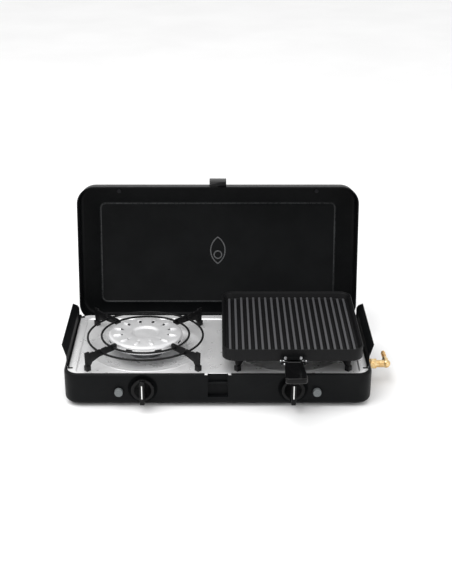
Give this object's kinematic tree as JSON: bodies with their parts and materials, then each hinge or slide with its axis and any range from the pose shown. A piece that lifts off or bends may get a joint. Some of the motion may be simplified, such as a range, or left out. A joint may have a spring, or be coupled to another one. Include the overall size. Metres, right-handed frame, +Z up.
{
  "type": "camping stove",
  "caption": "Portable gas camping stove in a black lidded steel case, with a stainless hob, wind shields, pot stands and a ribbed grill pan on one burner.",
  "frame": {"origin": "on the standing surface, under the middle of the case", "axes": "+X to the right seen from the front, +Y to the back (the hinge side), +Z up; the knobs face -Y"},
  "size_m": [0.6087, 0.525, 0.3202],
  "materials": {
    "powder_coated_steel": "satin",
    "stainless_hob": "brushed",
    "stainless_burner": "polished",
    "stainless_fittings": "satin",
    "pressed_steel_burner": "satin",
    "chromed_wire": "polished",
    "brass": "machined",
    "enamelled_wire": "gloss enamel",
    "nonstick_cast_aluminium": "matt coating",
    "black_phenolic": "gloss",
    "grey_plastic": "matt",
    "black_plastic": "matt",
    "white_inlay": "matt",
    "ceramic": "glazed",
    "silicone_lead": "matt",
    "rubber": "matt"
  },
  "bodies": {
    "base": {"base_shell": "powder_coated_steel", "hob_plate": "stainless_hob", "latch_keeper": "powder_coated_steel", "feet": "rubber", "foot_screws": "stainless_fittings", "manifold_pipe": "brass", "left_valve": "brass", "left_injector": "brass", "left_mixing_tube": "stainless_fittings", "left_burner_body": "pressed_steel_burner", "left_burner_cap": "stainless_burner", "left_electrode": "ceramic", "left_igniter_lead": "silicone_lead", "left_igniter_body": "black_plastic", "left_shield_rod": "stainless_fittings", "right_valve": "brass", "right_injector": "brass", "right_mixing_tube": "stainless_fittings", "right_burner_body": "pressed_steel_burner", "right_burner_cap": "stainless_burner", "right_electrode": "ceramic", "right_igniter_lead": "silicone_lead", "right_igniter_body": "black_plastic", "right_shield_rod": "stainless_fittings", "inlet_locknut": "brass", "inlet_union": "brass", "inlet_elbow": "brass", "shield_ears": "powder_coated_steel", "base_hinge_leaves": "powder_coated_steel", "hinge_pins": "stainless_fittings", "hinge_rivets": "stainless_fittings"},
    "lid": {"lid_shell": "powder_coated_steel", "lid_hinge_leaves": "powder_coated_steel", "latch_lug": "black_phenolic", "latch_pin": "stainless_fittings", "lid_buffers": "rubber"},
    "latch": {"lid_latch": "black_phenolic"},
    "left_stem": {"left_spindle": "brass"},
    "left_knob": {"left_knob": "black_phenolic", "left_knob_mark": "white_inlay"},
    "left_button": {"left_igniter_button": "grey_plastic"},
    "left_stand": {"left_stand_arms": "enamelled_wire", "left_stand_rings": "enamelled_wire"},
    "left_wind_shield": {"left_shield": "powder_coated_steel"},
    "right_stem": {"right_spindle": "brass"},
    "right_knob": {"right_knob": "black_phenolic", "right_knob_mark": "white_inlay"},
    "right_button": {"right_igniter_button": "grey_plastic"},
    "right_stand": {"right_stand_arms": "enamelled_wire", "right_stand_rings": "enamelled_wire"},
    "right_wind_shield": {"right_shield": "powder_coated_steel"},
    "pan": {"grill_pan": "nonstick_cast_aluminium", "pan_bracket": "powder_coated_steel", "bracket_rivets": "stainless_fittings"},
    "pan_handle": {"handle_bail": "chromed_wire", "handle_grip": "black_phenolic"}
  },
  "joints": [
    {"name": "lid_hinge", "type": "hinge", "parent": "base", "child": "lid", "pos_m": [0, 0.1384, 0.04], "axis": [-1, 0, 0], "range_deg": [-86, 0]},
    {"name": "latch_flip", "type": "hinge", "parent": "lid", "child": "latch", "pos_m": [0, 0.23405, 0.30531], "axis": [-1, 0, 0], "range_deg": [0, 75]},
    {"name": "left_knob_push", "type": "slide", "parent": "base", "child": "left_stem", "axis": [0, 1, 0], "range_m": [0, 0.003], "stiffness_N_per_m": 1500, "springref_m": -0.002},
    {"name": "left_knob_turn", "type": "hinge", "parent": "left_stem", "child": "left_knob", "pos_m": [-0.136, -0.14, 0.038], "axis": [0, -1, 0], "range_deg": [0, 210]},
    {"name": "left_igniter_push", "type": "slide", "parent": "base", "child": "left_button", "axis": [0, 1, 0], "range_m": [0, 0.005], "stiffness_N_per_m": 1200, "springref_m": -0.002},
    {"name": "left_stand_lift", "type": "slide", "parent": "base", "child": "left_stand", "axis": [0, 0, 1], "range_m": [0, 0.08]},
    {"name": "left_shield_fold", "type": "hinge", "parent": "base", "child": "left_wind_shield", "pos_m": [-0.273, 0, 0.0688], "axis": [0, 1, 0], "range_deg": [0, 22.2]},
    {"name": "right_knob_push", "type": "slide", "parent": "base", "child": "right_stem", "axis": [0, 1, 0], "range_m": [0, 0.003], "stiffness_N_per_m": 1500, "springref_m": -0.002},
    {"name": "right_knob_turn", "type": "hinge", "parent": "right_stem", "child": "right_knob", "pos_m": [0.136, -0.14, 0.038], "axis": [0, -1, 0], "range_deg": [0, 210]},
    {"name": "right_igniter_push", "type": "slide", "parent": "base", "child": "right_button", "axis": [0, 1, 0], "range_m": [0, 0.005], "stiffness_N_per_m": 1200, "springref_m": -0.002},
    {"name": "right_stand_lift", "type": "slide", "parent": "base", "child": "right_stand", "axis": [0, 0, 1], "range_m": [0, 0.08]},
    {"name": "right_shield_fold", "type": "hinge", "parent": "base", "child": "right_wind_shield", "pos_m": [0.273, 0, 0.0688], "axis": [0, -1, 0], "range_deg": [0, 22.2]},
    {"name": "pan_lift", "type": "slide", "parent": "right_stand", "child": "pan", "axis": [0, 0, 1], "range_m": [0, 0.12]},
    {"name": "handle_fold", "type": "hinge", "parent": "pan", "child": "pan_handle", "pos_m": [0.1343, -0.145, 0.0984], "axis": [-1, 0, 0], "range_deg": [0, 80]}
  ],
  "couplings": [
    {"joint": "left_shield_fold", "follows": "lid_hinge", "ratio": -0.258},
    {"joint": "right_shield_fold", "follows": "lid_hinge", "ratio": -0.258}
  ]
}
